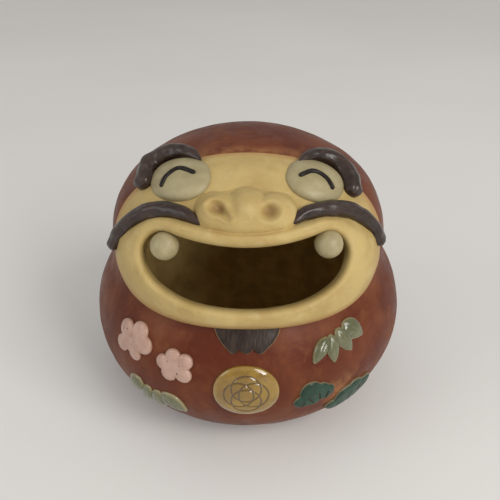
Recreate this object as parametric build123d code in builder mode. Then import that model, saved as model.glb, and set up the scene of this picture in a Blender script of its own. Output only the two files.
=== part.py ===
from build123d import *
from math import acos, cos, degrees, radians, sin
import os

# Hollow stoneware daruma doll: one fired vessel with a wide open laughing mouth. Its clay pieces
# were formed apart and luted on: a bare face slab with a rolled lip and a nose, eyes, brows,
# moustaches, two ball teeth and a goatee, and low reliefs round the belly.
# Millimetres, +Z up. The origin is the middle of the foot and the face looks along -Y.
# "left" and "right" are the sides seen by someone who stands in front of the doll.

# ---- driving dimensions ----
height = 192.0
wall = 6.5
floor = 7.5
foot_recess_radius = 54.0
foot_recess_depth = 1.5
foot_edge_radius = 2.0

# The outline of the vessel, from the crown down: radius and turn of each tangent arc in degrees.
# A negative turn bends the outline towards the axis and the one positive turn is the waist.
bends = [(122.0, -34.0), (60.0, -59.0), (30.0, 36.0), (65.0, -71.0)]
foot_bend = 100.0

# The face is laid out on a plane that leans back, u to the right and v up along it.
face_lean = 30.0
face_center_v = 94.5
face_half_width = 87.0
face_half_height = 53.0
slab = 3.0
reach = 220.0
mouth_reach = 90.0

# Right half of the mouth: tangent arcs from the middle of the lower lip round to the upper lip,
# which sags back to the middle along one last arc.
mouth_low_v = 53.0
mouth_bends = [(120.0, 12.0), (58.0, 28.0), (25.0, 50.0), (12.0, 112.8)]
lip_width = 13.0
lip_height = 9.5
lip_round = 5.5
crest_slack = 0.5

nose_v = 109.0
nose_ball = (14.0, 11.0)
nose_wing = (12.0, 9.0)
nose_wing_u = 17.0
nostril = (4.2, 6.0)
nostril_u = 15.0

eye_half_length = 22.0
eye_radius = 17.0
eye_sink = 8.5
eye_line_radius = 1.3
tooth_radius = 8.6
tooth_rise = 0.5

# Middle of each eye, its tilt, and the middle of each tooth, on the face plane.
eyes = {"left": ((-40.0, 130.5), 4.0), "right": ((40.3, 129.5), -12.0)}
teeth = {"left": (-48.1, 90.5), "right": (47.1, 91.5)}
# Smile line of each eye from its outer end over the top to its inner end.
eye_lines = {
    "left": [(-51.2, 125.1), (-48.2, 131.8), (-40.6, 136.6), (-30.4, 133.1)],
    "right": [(50.5, 123.6), (46.1, 131.0), (38.5, 134.6), (29.9, 131.2)],
}

# Rolls of clay along the middle of each brow and moustache, from the inner tip outwards,
# with the radius at each point.
brows = {
    "left": [(-28, 142), (-35, 147.5), (-45, 149.8), (-55, 147.5), (-62.5, 140), (-64, 126)],
    "right": [(31, 141), (37.5, 145.5), (47, 147), (56.5, 143), (62.5, 134), (64.5, 120.5)],
}
brow_radii = [1.6, 3.6, 5.0, 5.6, 5.8, 4.8]
brow_rise = 3.6
moustaches = {
    "left": [(-26.5, 102.8), (-36, 108.5), (-52, 111.4), (-67, 107.4), (-78, 99.5), (-84, 91.5)],
    "right": [(24.5, 103.0), (34, 109), (49, 112), (64, 110.6), (76, 103.5), (82, 94)],
}
moustache_radii = [1.6, 4.0, 4.8, 4.8, 4.4, 3.4]
moustache_rise = 4.4
# How much smaller the round tip of a roll is than the end that it sits on.
tip_step = 0.2

# The goatee's middle azimuth and height, and its edges above and below that middle.
goatee_seat = (0.0, 98.0)
goatee_half_top = 20.0
goatee_half_bottom = 12.0
goatee_top = 10.0
goatee_bottom = -5.0
goatee_scallops = 3
goatee_scallop_drop = 3.0
goatee_depth = 2.5
medallion_seat = (-0.5, 66.0)
medallion_half_sizes = (20.0, 18.5)
medallion_depth = 3.5
medallion_groove = 0.7
medallion_ring = 9.0
blossom_depth = 2.5
pine_depth = 2.8
stroke_size = (5.0, 1.2)
stroke_depth = 1.0

# Middle azimuth and height, reach of the petals, and direction of the first petal.
blossoms = {"upper": (-41.5, 83.5, 15.0, 80.0), "lower": (-24.4, 77.8, 12.2, 100.0)}
# Root and tip of each bamboo leaf as azimuth and height, with its half width.
leaves = {
    "bamboo_right_leaf_1": ((26.5, 96.5), (19.5, 80.5), 6.6),
    "bamboo_right_leaf_2": ((28.8, 98.0), (29.0, 75.5), 6.4),
    "bamboo_right_leaf_3": ((31.0, 99.0), (37.2, 79.0), 7.0),
    "bamboo_right_leaf_4": ((33.5, 100.0), (45.0, 82.0), 8.4),
    "bamboo_left_leaf_1": ((-38.0, 57.0), (-48.5, 40.0), 7.2),
    "bamboo_left_leaf_2": ((-35.6, 54.0), (-41.5, 31.0), 6.0),
    "bamboo_left_leaf_3": ((-33.0, 54.0), (-33.5, 31.0), 7.0),
    "bamboo_left_leaf_4": ((-30.5, 55.0), (-20.5, 34.5), 7.6),
}
leaf_sink = 3.2
# Cloud-shaped pine crowns: middle azimuth and height, then round lobes (x, y, radius) on it.
pines = {
    "pine_inner": ((22.0, 56.0), [(-8.0, -2.0, 5.8), (0.0, 3.8, 7.6), (8.5, 1.6, 6.0), (2, -1, 6)]),
    "pine_outer": ((40.0, 44.0), [(-16, -8, 5.2), (-8, -2, 7.4), (3, 2, 8.4), (13, 6.5, 7.2)]),
}
# Middle and lean of the short strokes cut in each pine crown.
strokes = {
    "pine_inner": [(-7.5, -4.0, 60.0), (-1.5, -1.5, 50.0), (3.5, 0.5, 80.0), (9.0, 0.5, 105.0)],
    "pine_outer": [(-9.0, -5.0, 60.0), (0.5, -1.0, 75.0), (9.5, 3.0, 95.0)],
}


# ---- shared geometry ----
def vessel(growth):
    """The whole vessel as a solid, with its skin moved outwards by growth."""
    turned = 0.0
    drop = height
    for radius, turn in bends:
        side = 1 if turn < 0 else -1
        drop += side * radius * (cos(radians(turned - turn)) - cos(radians(turned)))
        turned -= turn
    foot_turn = degrees(acos(cos(radians(turned)) - drop / foot_bend)) - turned
    with BuildPart() as solid:
        with BuildSketch(Plane.XZ):
            with BuildLine():
                end, heading = Vector(0, height + growth), Vector(1, 0)
                for radius, turn in bends + [(foot_bend, -foot_turn)]:
                    side = 1 if turn < 0 else -1
                    arc = JernArc(end, heading, radius + side * growth, turn)
                    end, heading = arc @ 1, arc % 1
                Polyline(end, (0, end.Y), (0, height + growth))
            make_face()
        revolve(axis=Axis.Z)
    return solid.part


skin = vessel(0)
slab_skin = vessel(slab)
face_normal = Vector(0, -cos(radians(face_lean)), sin(radians(face_lean)))
face_plane = Plane(origin=(0, 0, 0), x_dir=(1, 0, 0), z_dir=face_normal)


def on_face(u, v, rise):
    """The plane that stands on the vessel's skin, raised by rise, over a point of the face plane."""
    start = face_plane.from_local_coords((u, v, 0))
    hits = skin.find_intersection_points(Axis(start, face_normal))
    point, normal = max(hits, key=lambda hit: (hit[0] - start).dot(face_normal))
    return Plane(origin=point + normal * rise, x_dir=(1, 0, 0), z_dir=normal)


def on_belly(azimuth, z):
    """The plane that lies on the skin at an azimuth from the front and a height, y upwards."""
    out = Vector(sin(radians(azimuth)), -cos(radians(azimuth)), 0)
    across = Vector(cos(radians(azimuth)), sin(radians(azimuth)), 0)
    hits = skin.find_intersection_points(Axis((0, 0, z), out))
    point, normal = max(hits, key=lambda hit: hit[0].dot(out))
    return Plane(origin=point, x_dir=across, z_dir=normal)


def mouth_outline(growth):
    """The closed outline of the mouth on the face plane, moved outwards by growth."""
    with BuildSketch() as outline:
        with BuildLine():
            end, heading = Vector(0, mouth_low_v - growth), Vector(1, 0)
            for radius, turn in mouth_bends:
                arc = JernArc(end, heading, radius + growth, turn)
                end, heading = arc @ 1, arc % 1
            sag = 180 - sum(turn for radius, turn in mouth_bends)
            JernArc(end, heading, end.X / sin(radians(-sag)), sag)
            mirror(about=Plane.YZ)
        make_face()
    return outline.sketch


def spheroid(plane, half_length, radius):
    """A solid egg, half_length along the plane's x and radius across it."""
    with BuildPart() as egg:
        with BuildSketch(plane):
            Ellipse(half_length, radius)
            Rectangle(2 * half_length, radius, align=(Align.CENTER, Align.MAX), mode=Mode.SUBTRACT)
        revolve(axis=Axis(plane.origin, plane.x_dir))
    return egg.part


def clay_roll(middles, radii, rise):
    """A tapered roll of clay that follows points of the face and ends in a round tip."""
    planes = [on_face(u, v, rise) for u, v in middles]
    with BuildPart() as roll:
        with BuildLine():
            route = Spline(*[plane.origin for plane in planes], mode=Mode.PRIVATE)
        for plane, radius in zip(planes, radii):
            heading = route % route.param_at_point(plane.origin)
            with BuildSketch(Plane(origin=plane.origin, x_dir=plane.z_dir, z_dir=heading)):
                Circle(radius)
        loft()
        with Locations(planes[-1].origin):
            Sphere(radii[-1] - tip_step)
    return roll.part


# ---- mouth and lip ----
with BuildPart() as mouth_hole:
    with BuildSketch(face_plane.offset(mouth_reach)):
        add(mouth_outline(0))
    extrude(amount=reach - mouth_reach)

with BuildPart() as lip_seat:
    with BuildSketch(face_plane.offset(mouth_reach)):
        add(mouth_outline(lip_width))
    extrude(amount=reach - mouth_reach)

with BuildPart() as lip_coil:
    add(lip_seat.part)
    add(vessel(lip_height), mode=Mode.INTERSECT)
    for cutter in (skin, mouth_hole.part):
        add(cutter, mode=Mode.SUBTRACT)
    crest_low = lip_height - crest_slack
    crest = lip_coil.edges().filter_by(lambda edge: skin.distance_to(edge @ 0.5) > crest_low)
    fillet(crest, lip_round)

# ---- body: one thrown shell with a flat floor, a shallow foot recess and the open mouth ----
with BuildPart() as cavity:
    add(vessel(-wall))
    split(bisect_by=Plane.XY.offset(floor), keep=Keep.TOP)

with BuildPart() as body_shell:
    add(skin)
    fillet(body_shell.edges().group_by(Axis.Z)[0], foot_edge_radius)
    add(cavity.part, mode=Mode.SUBTRACT)
    with BuildSketch(Plane.XY):
        Circle(foot_recess_radius)
    extrude(amount=foot_recess_depth, mode=Mode.SUBTRACT)
    add(mouth_hole.part, mode=Mode.SUBTRACT)

# ---- face slab ----
with BuildPart() as face_slab:
    with BuildSketch(face_plane.offset(mouth_reach)):
        with Locations((0, face_center_v)):
            Ellipse(face_half_width, face_half_height)
    extrude(amount=reach - mouth_reach)
    add(slab_skin, mode=Mode.INTERSECT)
    for cutter in (skin, lip_seat.part):
        add(cutter, mode=Mode.SUBTRACT)

# ---- nose: a ball between two wings, with a nostril pressed into each wing ----
def nose_lobe(u, sizes, rise):
    """A round lobe of the nose: its size along the face and how far it stands out."""
    seat = on_face(u, nose_v, rise)
    radius, depth = sizes
    return spheroid(Plane(origin=seat.origin, x_dir=face_normal, z_dir=(1, 0, 0)), depth, radius)


with BuildPart() as nose:
    add(nose_lobe(0, nose_ball, slab))
    for side in (-1, 1):
        add(nose_lobe(side * nose_wing_u, nose_wing, slab))
        add(nose_lobe(side * nostril_u, nostril, slab + nose_wing[1]), mode=Mode.SUBTRACT)
    for cutter in (slab_skin, lip_coil.part):
        add(cutter, mode=Mode.SUBTRACT)

# ---- eyes, each an egg-shaped pad with a raised smile line let into it ----
eye_parts = {}
line_parts = {}
for side, ((u, v), tilt) in eyes.items():
    seat = on_face(u, v, slab - eye_sink).rotated((0, 0, tilt))
    pad = spheroid(seat, eye_half_length, eye_radius)
    with BuildPart() as eye_line:
        with BuildLine() as line_route:
            route_points = []
            for line_u, line_v in eye_lines[side]:
                start = face_plane.from_local_coords((line_u, line_v, 0))
                hits = pad.find_intersection_points(Axis(start, face_normal))
                route_points.append(max((hit[0] for hit in hits), key=lambda p: p.dot(face_normal)))
            Spline(*route_points)
        with BuildSketch(Plane(origin=line_route.line @ 0, z_dir=line_route.line % 0)):
            Circle(eye_line_radius)
        sweep()
    line_parts[side] = eye_line
    with BuildPart() as eye:
        add(pad)
        for cutter in (slab_skin, eye_line.part):
            add(cutter, mode=Mode.SUBTRACT)
    eye_parts[side] = eye

# ---- teeth, brows and moustaches ----
tooth_parts = {}
brow_parts = {}
moustache_parts = {}
for side in ("left", "right"):
    with BuildPart() as tooth:
        with Locations(on_face(*teeth[side], tooth_rise).origin):
            Sphere(tooth_radius)
        for cutter in (lip_coil.part, body_shell.part, face_slab.part):
            add(cutter, mode=Mode.SUBTRACT)
    tooth_parts[side] = tooth
    with BuildPart() as brow:
        add(clay_roll(brows[side], brow_radii, brow_rise))
        for cutter in (skin, face_slab.part, eye_parts[side].part):
            add(cutter, mode=Mode.SUBTRACT)
    brow_parts[side] = brow
    with BuildPart() as moustache:
        add(clay_roll(moustaches[side], moustache_radii, moustache_rise))
        for cutter in (skin, face_slab.part, lip_coil.part, nose.part, eye_parts[side].part):
            add(cutter, mode=Mode.SUBTRACT)
    moustache_parts[side] = moustache

# ---- goatee: a shield of clay under the lip, scalloped along its lower edge ----
with BuildPart() as goatee:
    with BuildSketch(on_belly(*goatee_seat)):
        with BuildLine():
            width = 2 * goatee_half_bottom / goatee_scallops
            low = goatee_bottom - goatee_scallop_drop
            steps = range(goatee_scallops + 1)
            corners = [(-goatee_half_bottom + width * step, goatee_bottom) for step in steps]
            for first, last in zip(corners, corners[1:]):
                ThreePointArc(first, ((first[0] + last[0]) / 2, low), last)
            top = [(goatee_half_top, goatee_top), (-goatee_half_top, goatee_top)]
            Polyline(corners[-1], *top, corners[0])
        make_face()
    extrude(amount=wall, both=True)
    add(vessel(goatee_depth), mode=Mode.INTERSECT)
    for cutter in (skin, face_slab.part, lip_coil.part):
        add(cutter, mode=Mode.SUBTRACT)

# ---- medallion: an oval pat of clay with a plain motif of crossing rings pressed into it ----
with BuildPart() as medallion:
    with BuildSketch(on_belly(*medallion_seat)):
        Ellipse(*medallion_half_sizes)
    extrude(amount=2 * wall, both=True)
    add(vessel(medallion_depth), mode=Mode.INTERSECT)
    add(skin, mode=Mode.SUBTRACT)
    with BuildSketch(on_belly(*medallion_seat).offset(medallion_depth)):
        with PolarLocations(medallion_ring / 2, 4):
            Circle(medallion_ring + medallion_groove / 2)
            Circle(medallion_ring - medallion_groove / 2, mode=Mode.SUBTRACT)
    extrude(amount=-2 * medallion_groove, mode=Mode.SUBTRACT)

# ---- plum blossoms: five round petals round a middle ----
blossom_parts = {}
for name, (azimuth, z, petal_reach, first_petal) in blossoms.items():
    with BuildPart() as blossom:
        with BuildSketch(on_belly(azimuth, z)):
            petal = petal_reach / 2
            Circle(petal)
            with PolarLocations(petal_reach - petal, 5, start_angle=first_petal):
                Circle(petal)
        extrude(amount=2 * wall, both=True)
        add(vessel(blossom_depth), mode=Mode.INTERSECT)
        add(skin, mode=Mode.SUBTRACT)
    blossom_parts[name] = blossom

# ---- bamboo leaves: pointed pillows side by side, each lapped by the one before ----
leaf_parts = {}
for name, (root, tip, half_width) in leaves.items():
    seat = on_belly((root[0] + tip[0]) / 2, (root[1] + tip[1]) / 2)
    run = on_belly(*tip).origin - on_belly(*root).origin
    along = (run - seat.z_dir * run.dot(seat.z_dir)).normalized()
    middle = Plane(origin=seat.origin - seat.z_dir * leaf_sink, x_dir=along, z_dir=seat.z_dir)
    with BuildPart() as leaf:
        with BuildSketch(middle):
            with BuildLine():
                edge = ThreePointArc((-run.length / 2, 0), (0, half_width), (run.length / 2, 0))
                Line(edge @ 1, edge @ 0)
            make_face()
        revolve(axis=Axis(middle.origin, middle.x_dir))
        add(skin, mode=Mode.SUBTRACT)
        for earlier in leaf_parts.values():
            add(earlier.part, mode=Mode.SUBTRACT)
    leaf_parts[name] = leaf

# ---- pine crowns with short strokes cut in them ----
pine_parts = {}
for name, ((azimuth, z), lobes) in pines.items():
    with BuildPart() as pine:
        with BuildSketch(on_belly(azimuth, z)):
            for x, y, radius in lobes:
                with Locations((x, y)):
                    Circle(radius)
        extrude(amount=2 * wall, both=True)
        add(vessel(pine_depth), mode=Mode.INTERSECT)
        add(skin, mode=Mode.SUBTRACT)
        with BuildSketch(on_belly(azimuth, z).offset(pine_depth)):
            for x, y, lean in strokes[name]:
                with Locations(Location((x, y), lean)):
                    SlotOverall(*stroke_size)
        extrude(amount=-stroke_depth, mode=Mode.SUBTRACT)
    pine_parts[name] = pine

# ---- labels and files ----
pieces = {
    "body_shell": body_shell,
    "face_slab": face_slab,
    "lip_coil": lip_coil,
    "nose": nose,
    "goatee": goatee,
    "medallion": medallion,
}
for side in ("left", "right"):
    pieces[f"eye_{side}"] = eye_parts[side]
    pieces[f"smile_line_{side}"] = line_parts[side]
    pieces[f"tooth_{side}"] = tooth_parts[side]
    pieces[f"brow_{side}"] = brow_parts[side]
    pieces[f"moustache_{side}"] = moustache_parts[side]
for name, blossom in blossom_parts.items():
    pieces[f"blossom_{name}"] = blossom
pieces.update(leaf_parts)
pieces.update(pine_parts)

os.makedirs("parts", exist_ok=True)
for name, piece in pieces.items():
    piece.part.label = name
    export_step(piece.part, f"parts/{name}.step")
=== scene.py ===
import math

import bpy
import numpy as np
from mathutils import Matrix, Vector


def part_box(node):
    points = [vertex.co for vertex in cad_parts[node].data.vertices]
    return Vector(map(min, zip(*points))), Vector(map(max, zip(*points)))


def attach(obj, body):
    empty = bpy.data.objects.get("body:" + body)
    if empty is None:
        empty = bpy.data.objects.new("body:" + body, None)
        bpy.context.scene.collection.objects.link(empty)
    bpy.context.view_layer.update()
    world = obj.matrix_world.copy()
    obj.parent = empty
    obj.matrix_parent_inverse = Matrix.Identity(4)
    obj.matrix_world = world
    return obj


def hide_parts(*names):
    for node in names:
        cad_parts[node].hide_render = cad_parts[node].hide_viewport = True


# A hollow stoneware daruma doll. Every shape is laid out in millimetres on the outline of the packed
# vessel and turned into metres as its mesh is made. u runs to the right and v up the leaning face.

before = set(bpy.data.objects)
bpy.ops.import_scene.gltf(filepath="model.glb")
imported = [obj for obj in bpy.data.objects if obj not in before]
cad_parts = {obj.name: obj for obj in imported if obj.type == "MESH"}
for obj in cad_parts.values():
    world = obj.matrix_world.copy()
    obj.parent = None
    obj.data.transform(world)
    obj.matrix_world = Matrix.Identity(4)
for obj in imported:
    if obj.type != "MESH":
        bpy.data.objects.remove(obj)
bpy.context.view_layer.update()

MM = 0.001
CROWN = 192.0
# Metres for each millimetre below, so that the outline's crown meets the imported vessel's.
UNIT = MM * (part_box("body_shell")[1].z / MM / CROWN)

# Radius and turn in degrees of each tangent arc of the outline, from the crown to the foot.
BENDS = [(122.0, 34.0), (60.0, 59.0), (30.0, -36.0), (65.0, 71.0), (100.0, 21.85)]
WALL = 6.5
FLOOR = 7.5
# Radius and depth of the recess inside the foot ring.
FOOT_RECESS = (54.0, 1.5)

FACE_LEAN = math.radians(30.0)
FACE_MIDDLE = 94.5
FACE_HALF = (86.0, 53.0)
MOUTH_LOW = 53.0
# Radius and turn of each arc of half the mouth, from the middle of the lower lip to the corner.
MOUTH_BENDS = [(120.0, 12.0), (58.0, 28.0), (25.0, 50.0), (12.0, 112.8)]

ACROSS = np.array([1.0, 0.0, 0.0])
UPWARD = np.array([0.0, math.sin(FACE_LEAN), math.cos(FACE_LEAN)])
OUTWARD = np.array([0.0, -math.cos(FACE_LEAN), math.sin(FACE_LEAN)])


# ---- small numeric tools ----
def smooth(low, high, x):
    """0 below low, 1 above high and an S-curve between."""
    t = np.clip((np.asarray(x, float) - low) / (high - low), 0, 1)
    return t * t * (3 - 2 * t)


def soft_max(a, b, width):
    """The larger of two fields, rounded where they cross."""
    h = np.clip(0.5 + 0.5 * (a - b) / width, 0, 1)
    return b * (1 - h) + a * h + width * h * (1 - h)


def ripple(points, wavelength, seed, waves=14):
    """A smooth uneven field between about -1 and 1, from seeded plane waves."""
    rng = np.random.default_rng(seed)
    heading = rng.normal(size=(waves, points.shape[1]))
    heading /= np.linalg.norm(heading, axis=1)[:, None]
    length = wavelength * rng.uniform(0.7, 1.5, waves)
    phase = rng.uniform(0, 2 * math.pi, waves)
    field = np.sin(points @ (heading / length[:, None]).T * 2 * math.pi + phase)
    return field.sum(1) / math.sqrt(waves * 1.2)


def oval(points, centre, half_sizes, lean, power=2.0):
    """Distance from an oval's middle, 1 on its rim; a power over 2 makes it squarer."""
    a = math.radians(lean)
    x = points[:, 0] - centre[0]
    y = points[:, 1] - centre[1]
    along = np.abs((x * math.cos(a) + y * math.sin(a)) / half_sizes[0])
    over = np.abs((y * math.cos(a) - x * math.sin(a)) / half_sizes[1])
    return (along**power + over**power) ** (1 / power)


def turns(count):
    """Evenly spread angles, once round."""
    return np.linspace(0, 2 * math.pi, count, endpoint=False)


def compass(angles):
    """The unit vector at each angle."""
    return np.stack([np.cos(angles), np.sin(angles)], 1)


def lengths(rows):
    """Length of each row's vector, as a column."""
    return np.linalg.norm(rows, axis=1)[:, None]


def run_of(points):
    """Distance travelled along a row of points, at each of them."""
    return np.concatenate([[0], np.cumsum(lengths(np.diff(points, axis=0)))])


# ---- the vessel's skin ----
def chain(start, first_heading, bends, spin):
    """Tangent arcs as (centre, radius, side, headings). spin 1 turns clockwise, -1 the other way."""
    arcs = []
    point = np.array(start, float)
    heading = first_heading
    for radius, turn in bends:
        side = 1 if turn > 0 else -1
        out = normal_at(heading, spin)
        centre = point - side * radius * out
        arcs.append((centre, radius, side, heading, heading + turn))
        heading += turn
        point = centre + side * radius * normal_at(heading, spin)
    return arcs, point


def normal_at(heading, spin):
    """Outward unit normal of an outline that runs along heading degrees."""
    h = math.radians(heading)
    return np.array([math.sin(h), spin * math.cos(h)])


def arc_distance(x, y, arcs, spin, slack):
    """Signed distance from a chain of arcs, and the outward normal there."""
    best = np.full(len(x), np.inf)
    nx = np.zeros(len(x))
    ny = np.ones(len(x))
    last = len(arcs) - 1
    for index, (centre, radius, side, h0, h1) in enumerate(arcs):
        dx = (x - centre[0]) * side
        dy = (y - centre[1]) * side
        length = np.hypot(dx, dy) + 1e-9
        heading = np.degrees(np.arctan2(dx, spin * dy))
        heading = np.where(heading < -90, heading + 360, heading)
        low = min(h0, h1) - (slack if index == 0 else 0.01)
        high = max(h0, h1) + (slack if index == last else 0.01)
        distance = side * (length - radius)
        take = (heading >= low) & (heading <= high) & (np.abs(distance) < np.abs(best))
        best = np.where(take, distance, best)
        nx = np.where(take, dx / length, nx)
        ny = np.where(take, dy / length, ny)
    return best, nx, ny


VESSEL_ARCS = chain((0, CROWN), 0, BENDS, 1)[0]


def skin(points):
    """Signed distance from the vessel's skin and its outward normal, for points in millimetres."""
    r = np.hypot(points[:, 0], points[:, 1])
    distance, nr, nz = arc_distance(r, points[:, 2], VESSEL_ARCS, 1, 30)
    distance = np.where(np.isinf(distance), r - 100.0, distance)
    safe = np.maximum(r, 1e-9)
    normal = np.stack([nr * points[:, 0] / safe, nr * points[:, 1] / safe, nz], 1)
    return distance, normal


def land(points, direction, rise):
    """Points slid against direction until they stand rise above the skin, and the normal there."""
    points = points + 60.0 * direction
    rise = np.asarray(rise)
    for _ in range(90):
        distance, normal = skin(points)
        points = points - np.clip(distance - rise, -20, 60)[:, None] * direction
    return points, skin(points)[1]


def on_face(uv, rise):
    """Points of the face plane laid on the skin and raised."""
    plane = uv[:, :1] * ACROSS + uv[:, 1:2] * UPWARD + 130.0 * OUTWARD
    return land(plane, OUTWARD, np.zeros(len(uv)) + rise)


class Spot:
    """A tangent plane on the belly, a across and b up, with its own flat coordinates."""

    def __init__(self, azimuth, z):
        t = math.radians(azimuth)
        flat = np.array([[math.sin(t), -math.cos(t), 0.0]])
        start = flat * 100.0 + np.array([[0, 0, z]])
        place, normal = land(start, flat[0], np.zeros(1))
        self.origin = place[0]
        self.normal = normal[0]
        self.a = np.array([math.cos(t), math.sin(t), 0.0])
        self.b = np.cross(self.normal, self.a)

    def lay(self, ab, rise):
        """Flat points laid on the skin along the spot's normal, and raised."""
        plane = self.origin + ab[:, :1] * self.a + ab[:, 1:2] * self.b
        return land(plane, self.normal, rise)[0]


# ---- meshes ----
def paint(mesh, fields):
    """Stores each field as one number per point, for the materials to read."""
    for key, values in fields.items():
        layer = mesh.attributes.new(key, "FLOAT", "POINT")
        layer.data.foreach_set("value", np.asarray(values, np.float32))


def add_object(name, data):
    """A new object in the scene, made of a mesh, a lamp or a camera."""
    item = bpy.data.objects.new(name, data)
    bpy.context.scene.collection.objects.link(item)
    return item


def smooth_shaded(mesh):
    mesh.polygons.foreach_set("use_smooth", [True] * len(mesh.polygons))


def to_object(name, points, faces, slot, nodes, fields):
    """A mesh object in metres that rides with the doll and stands for its CAD nodes.

    The grids below are numbered with their faces inwards, so all faces are turned over here.
    """
    mesh = bpy.data.meshes.new(name)
    mesh.from_pydata((np.asarray(points) * UNIT).tolist(), [], [face[::-1] for face in faces])
    mesh.validate()
    paint(mesh, fields)
    smooth_shaded(mesh)
    piece = add_object(name, mesh)
    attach(piece, "root")
    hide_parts(*nodes)
    return piece


def strips(rows, cols):
    """Quads over a grid stored row by row, whose last column meets the first."""
    faces = []
    for i in range(rows - 1):
        for j in range(cols):
            k = (j + 1) % cols
            faces.append((i * cols + j, i * cols + k, (i + 1) * cols + k, (i + 1) * cols + j))
    return faces


def fan(start, cols, pole, forward=True):
    """Triangles that close a row of cols points, the first of them start, onto one pole."""
    faces = []
    for j in range(cols):
        pair = (start + j, start + (j + 1) % cols)
        faces.append((*(pair if forward else pair[::-1]), pole))
    return faces


def pad_faces(rows, cols):
    """Faces of a round pad: its first row closed by one face, its last one by the pole after it."""
    return strips(rows, cols) + [tuple(range(cols))[::-1]] + fan((rows - 1) * cols, cols, rows * cols)


def lobed(angles, circles):
    """Radius of a union of circles (x, y, radius) that is open to its middle, for each angle."""
    best = np.zeros(len(angles))
    for x, y, radius in circles:
        along = compass(angles) @ (x, y)
        inside = radius**2 - x * x - y * y + along**2
        reach = np.where(inside > 0, along + np.sqrt(np.maximum(inside, 0)), 0)
        best = np.maximum(best, reach)
    return best


def blurred(values, steps):
    """A closed row of values, smoothed over steps neighbours."""
    for _ in range(steps):
        values = (np.roll(values, 1) + 2 * values + np.roll(values, -1)) / 4
    return values


def rounded(rho, power, fall):
    """1 over a pad's middle, rounding down to 0 at its rim."""
    return (1 - np.minimum(rho, 1) ** power) ** fall


# How deep the underside of a relief is sunk into the body.
SINK = 0.8


def pat(name, spot, outline, height, slot, nodes, rings, middle=(0, 0), cut=None):
    """A flat pat of clay on the belly, with a closed underside sunk into the body.

    outline is the rim's distance from middle all the way round. height(rho, ab) gives the top,
    with rho 1 on the rim, and cut(ab) is 1 inside the cuts.
    """
    cols = len(outline)
    middle = np.array(middle, float)
    rim = compass(turns(cols)) * outline[:, None]
    rho = np.concatenate([[0.02], 1 - (1 - np.linspace(0.06, 1, rings)) ** 1.5])
    grid_rho = np.repeat(rho, cols)
    ab = middle + np.tile(rim, (len(rho), 1)) * grid_rho[:, None]
    flat = np.concatenate([ab, middle + rim * 1.004, middle + rim * 0.5, [middle]])
    rise = np.concatenate([height(grid_rho, ab), np.full(2 * cols + 1, -SINK)])
    faces = pad_faces(len(rho) + 2, cols)
    edge = np.concatenate([grid_rho, np.ones(2 * cols), [0]])
    fields = {"edge": edge, "cut": cut(flat) if cut else np.zeros(len(flat))}
    return to_object(name, spot.lay(flat, rise), faces, slot, nodes, fields)


# Steps between two of the points that a smooth curve runs through.
FINE_STEPS = 40


def curve_through(points, count):
    """Evenly spread points on a smooth curve through a few points.

    Each one's place among the few points and its distance from the start come with them.
    """
    points = np.asarray(points, float)
    padded = np.vstack([2 * points[0] - points[1], points, 2 * points[-1] - points[-2]])
    fine = []
    for i in range(len(points) - 1):
        p0, p1, p2, p3 = padded[i : i + 4]
        for t in np.linspace(0, 1, FINE_STEPS, endpoint=False):
            bend = (2 * p0 - 5 * p1 + 4 * p2 - p3) * t**2 + (3 * p1 - p0 - 3 * p2 + p3) * t**3
            fine.append(0.5 * (2 * p1 + (p2 - p0) * t + bend))
    fine = np.array(fine + [points[-1]])
    run = run_of(fine)
    even = np.linspace(0, run[-1], count)
    spread = np.stack([np.interp(even, run, column) for column in fine.T], 1)
    return spread, np.interp(even, run, np.arange(len(fine)) / FINE_STEPS), even


def round_end(distance, reach, least):
    """A roll's swelling near its end: least at the tip and 1 from reach onwards."""
    return np.sqrt(np.clip(1 - (1 - np.clip(distance / reach, 0, 1)) ** 2, least, 1))


def roll(name, line, ups, half_sizes, slot, nodes, around, dent=None):
    """A closed roll of clay along line; half_sizes is its half width and half height at each point.

    dent(run, turn) is the share by which its surface stands out or is pressed in.
    """
    count = len(line)
    tangent = np.gradient(line, axis=0)
    tangent /= lengths(tangent)
    side = np.cross(tangent, ups)
    side /= lengths(side)
    up = np.cross(side, tangent)
    turn = np.tile(turns(around), count)
    swell = 1 + dent(np.repeat(run_of(line), around), turn) if dent else 1
    wide = np.repeat(half_sizes[0], around) * swell * np.cos(turn)
    tall = np.repeat(half_sizes[1], around) * swell * np.sin(turn)
    points = np.repeat(line, around, axis=0)
    points = points + wide[:, None] * np.repeat(side, around, axis=0)
    points = points + tall[:, None] * np.repeat(up, around, axis=0)
    points = np.vstack([points, line[0] - tangent[0] * 0.05, line[-1] + tangent[-1] * 0.05])
    first = count * around
    faces = strips(count, around) + fan(0, around, first, False)
    faces += fan(first - around, around, first + 1)
    # turn is how far up round the roll each point sits; the dark slip uses it to paint shade on the
    # roll's underside
    fields = {"turn": np.concatenate([np.sin(turn), [0, 0]])}
    return to_object(name, points, faces, slot, nodes, fields)


# ---- body shell ----
def arc_points(arc, growth, spin, count):
    """Points along one arc of a chain, moved outwards by growth; its end is left to the next arc."""
    centre, radius, side, h0, h1 = arc
    reach = side * radius + growth
    return [centre + reach * normal_at(h, spin) for h in np.linspace(h0, h1, count, endpoint=False)]


def section(growth, per_mm):
    """Half section of the skin from crown to foot, moved outwards by growth."""
    points = []
    for arc in VESSEL_ARCS:
        _, radius, _, h0, h1 = arc
        count = max(3, int(radius * math.radians(abs(h1 - h0)) * per_mm))
        points += arc_points(arc, growth, 1, count)
    return np.array(points)


# The upper lip sags: one more arc, bent the other way, runs level into the middle.
LOBE_END = chain((0, MOUTH_LOW), 0, MOUTH_BENDS, -1)[1]
SAG = sum(turn for radius, turn in MOUTH_BENDS) - 180
SAG_RADIUS = LOBE_END[0] / math.sin(math.radians(SAG))
MOUTH_ARCS = chain((0, MOUTH_LOW), 0, MOUTH_BENDS + [(SAG_RADIUS, -SAG)], -1)[0]
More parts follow.
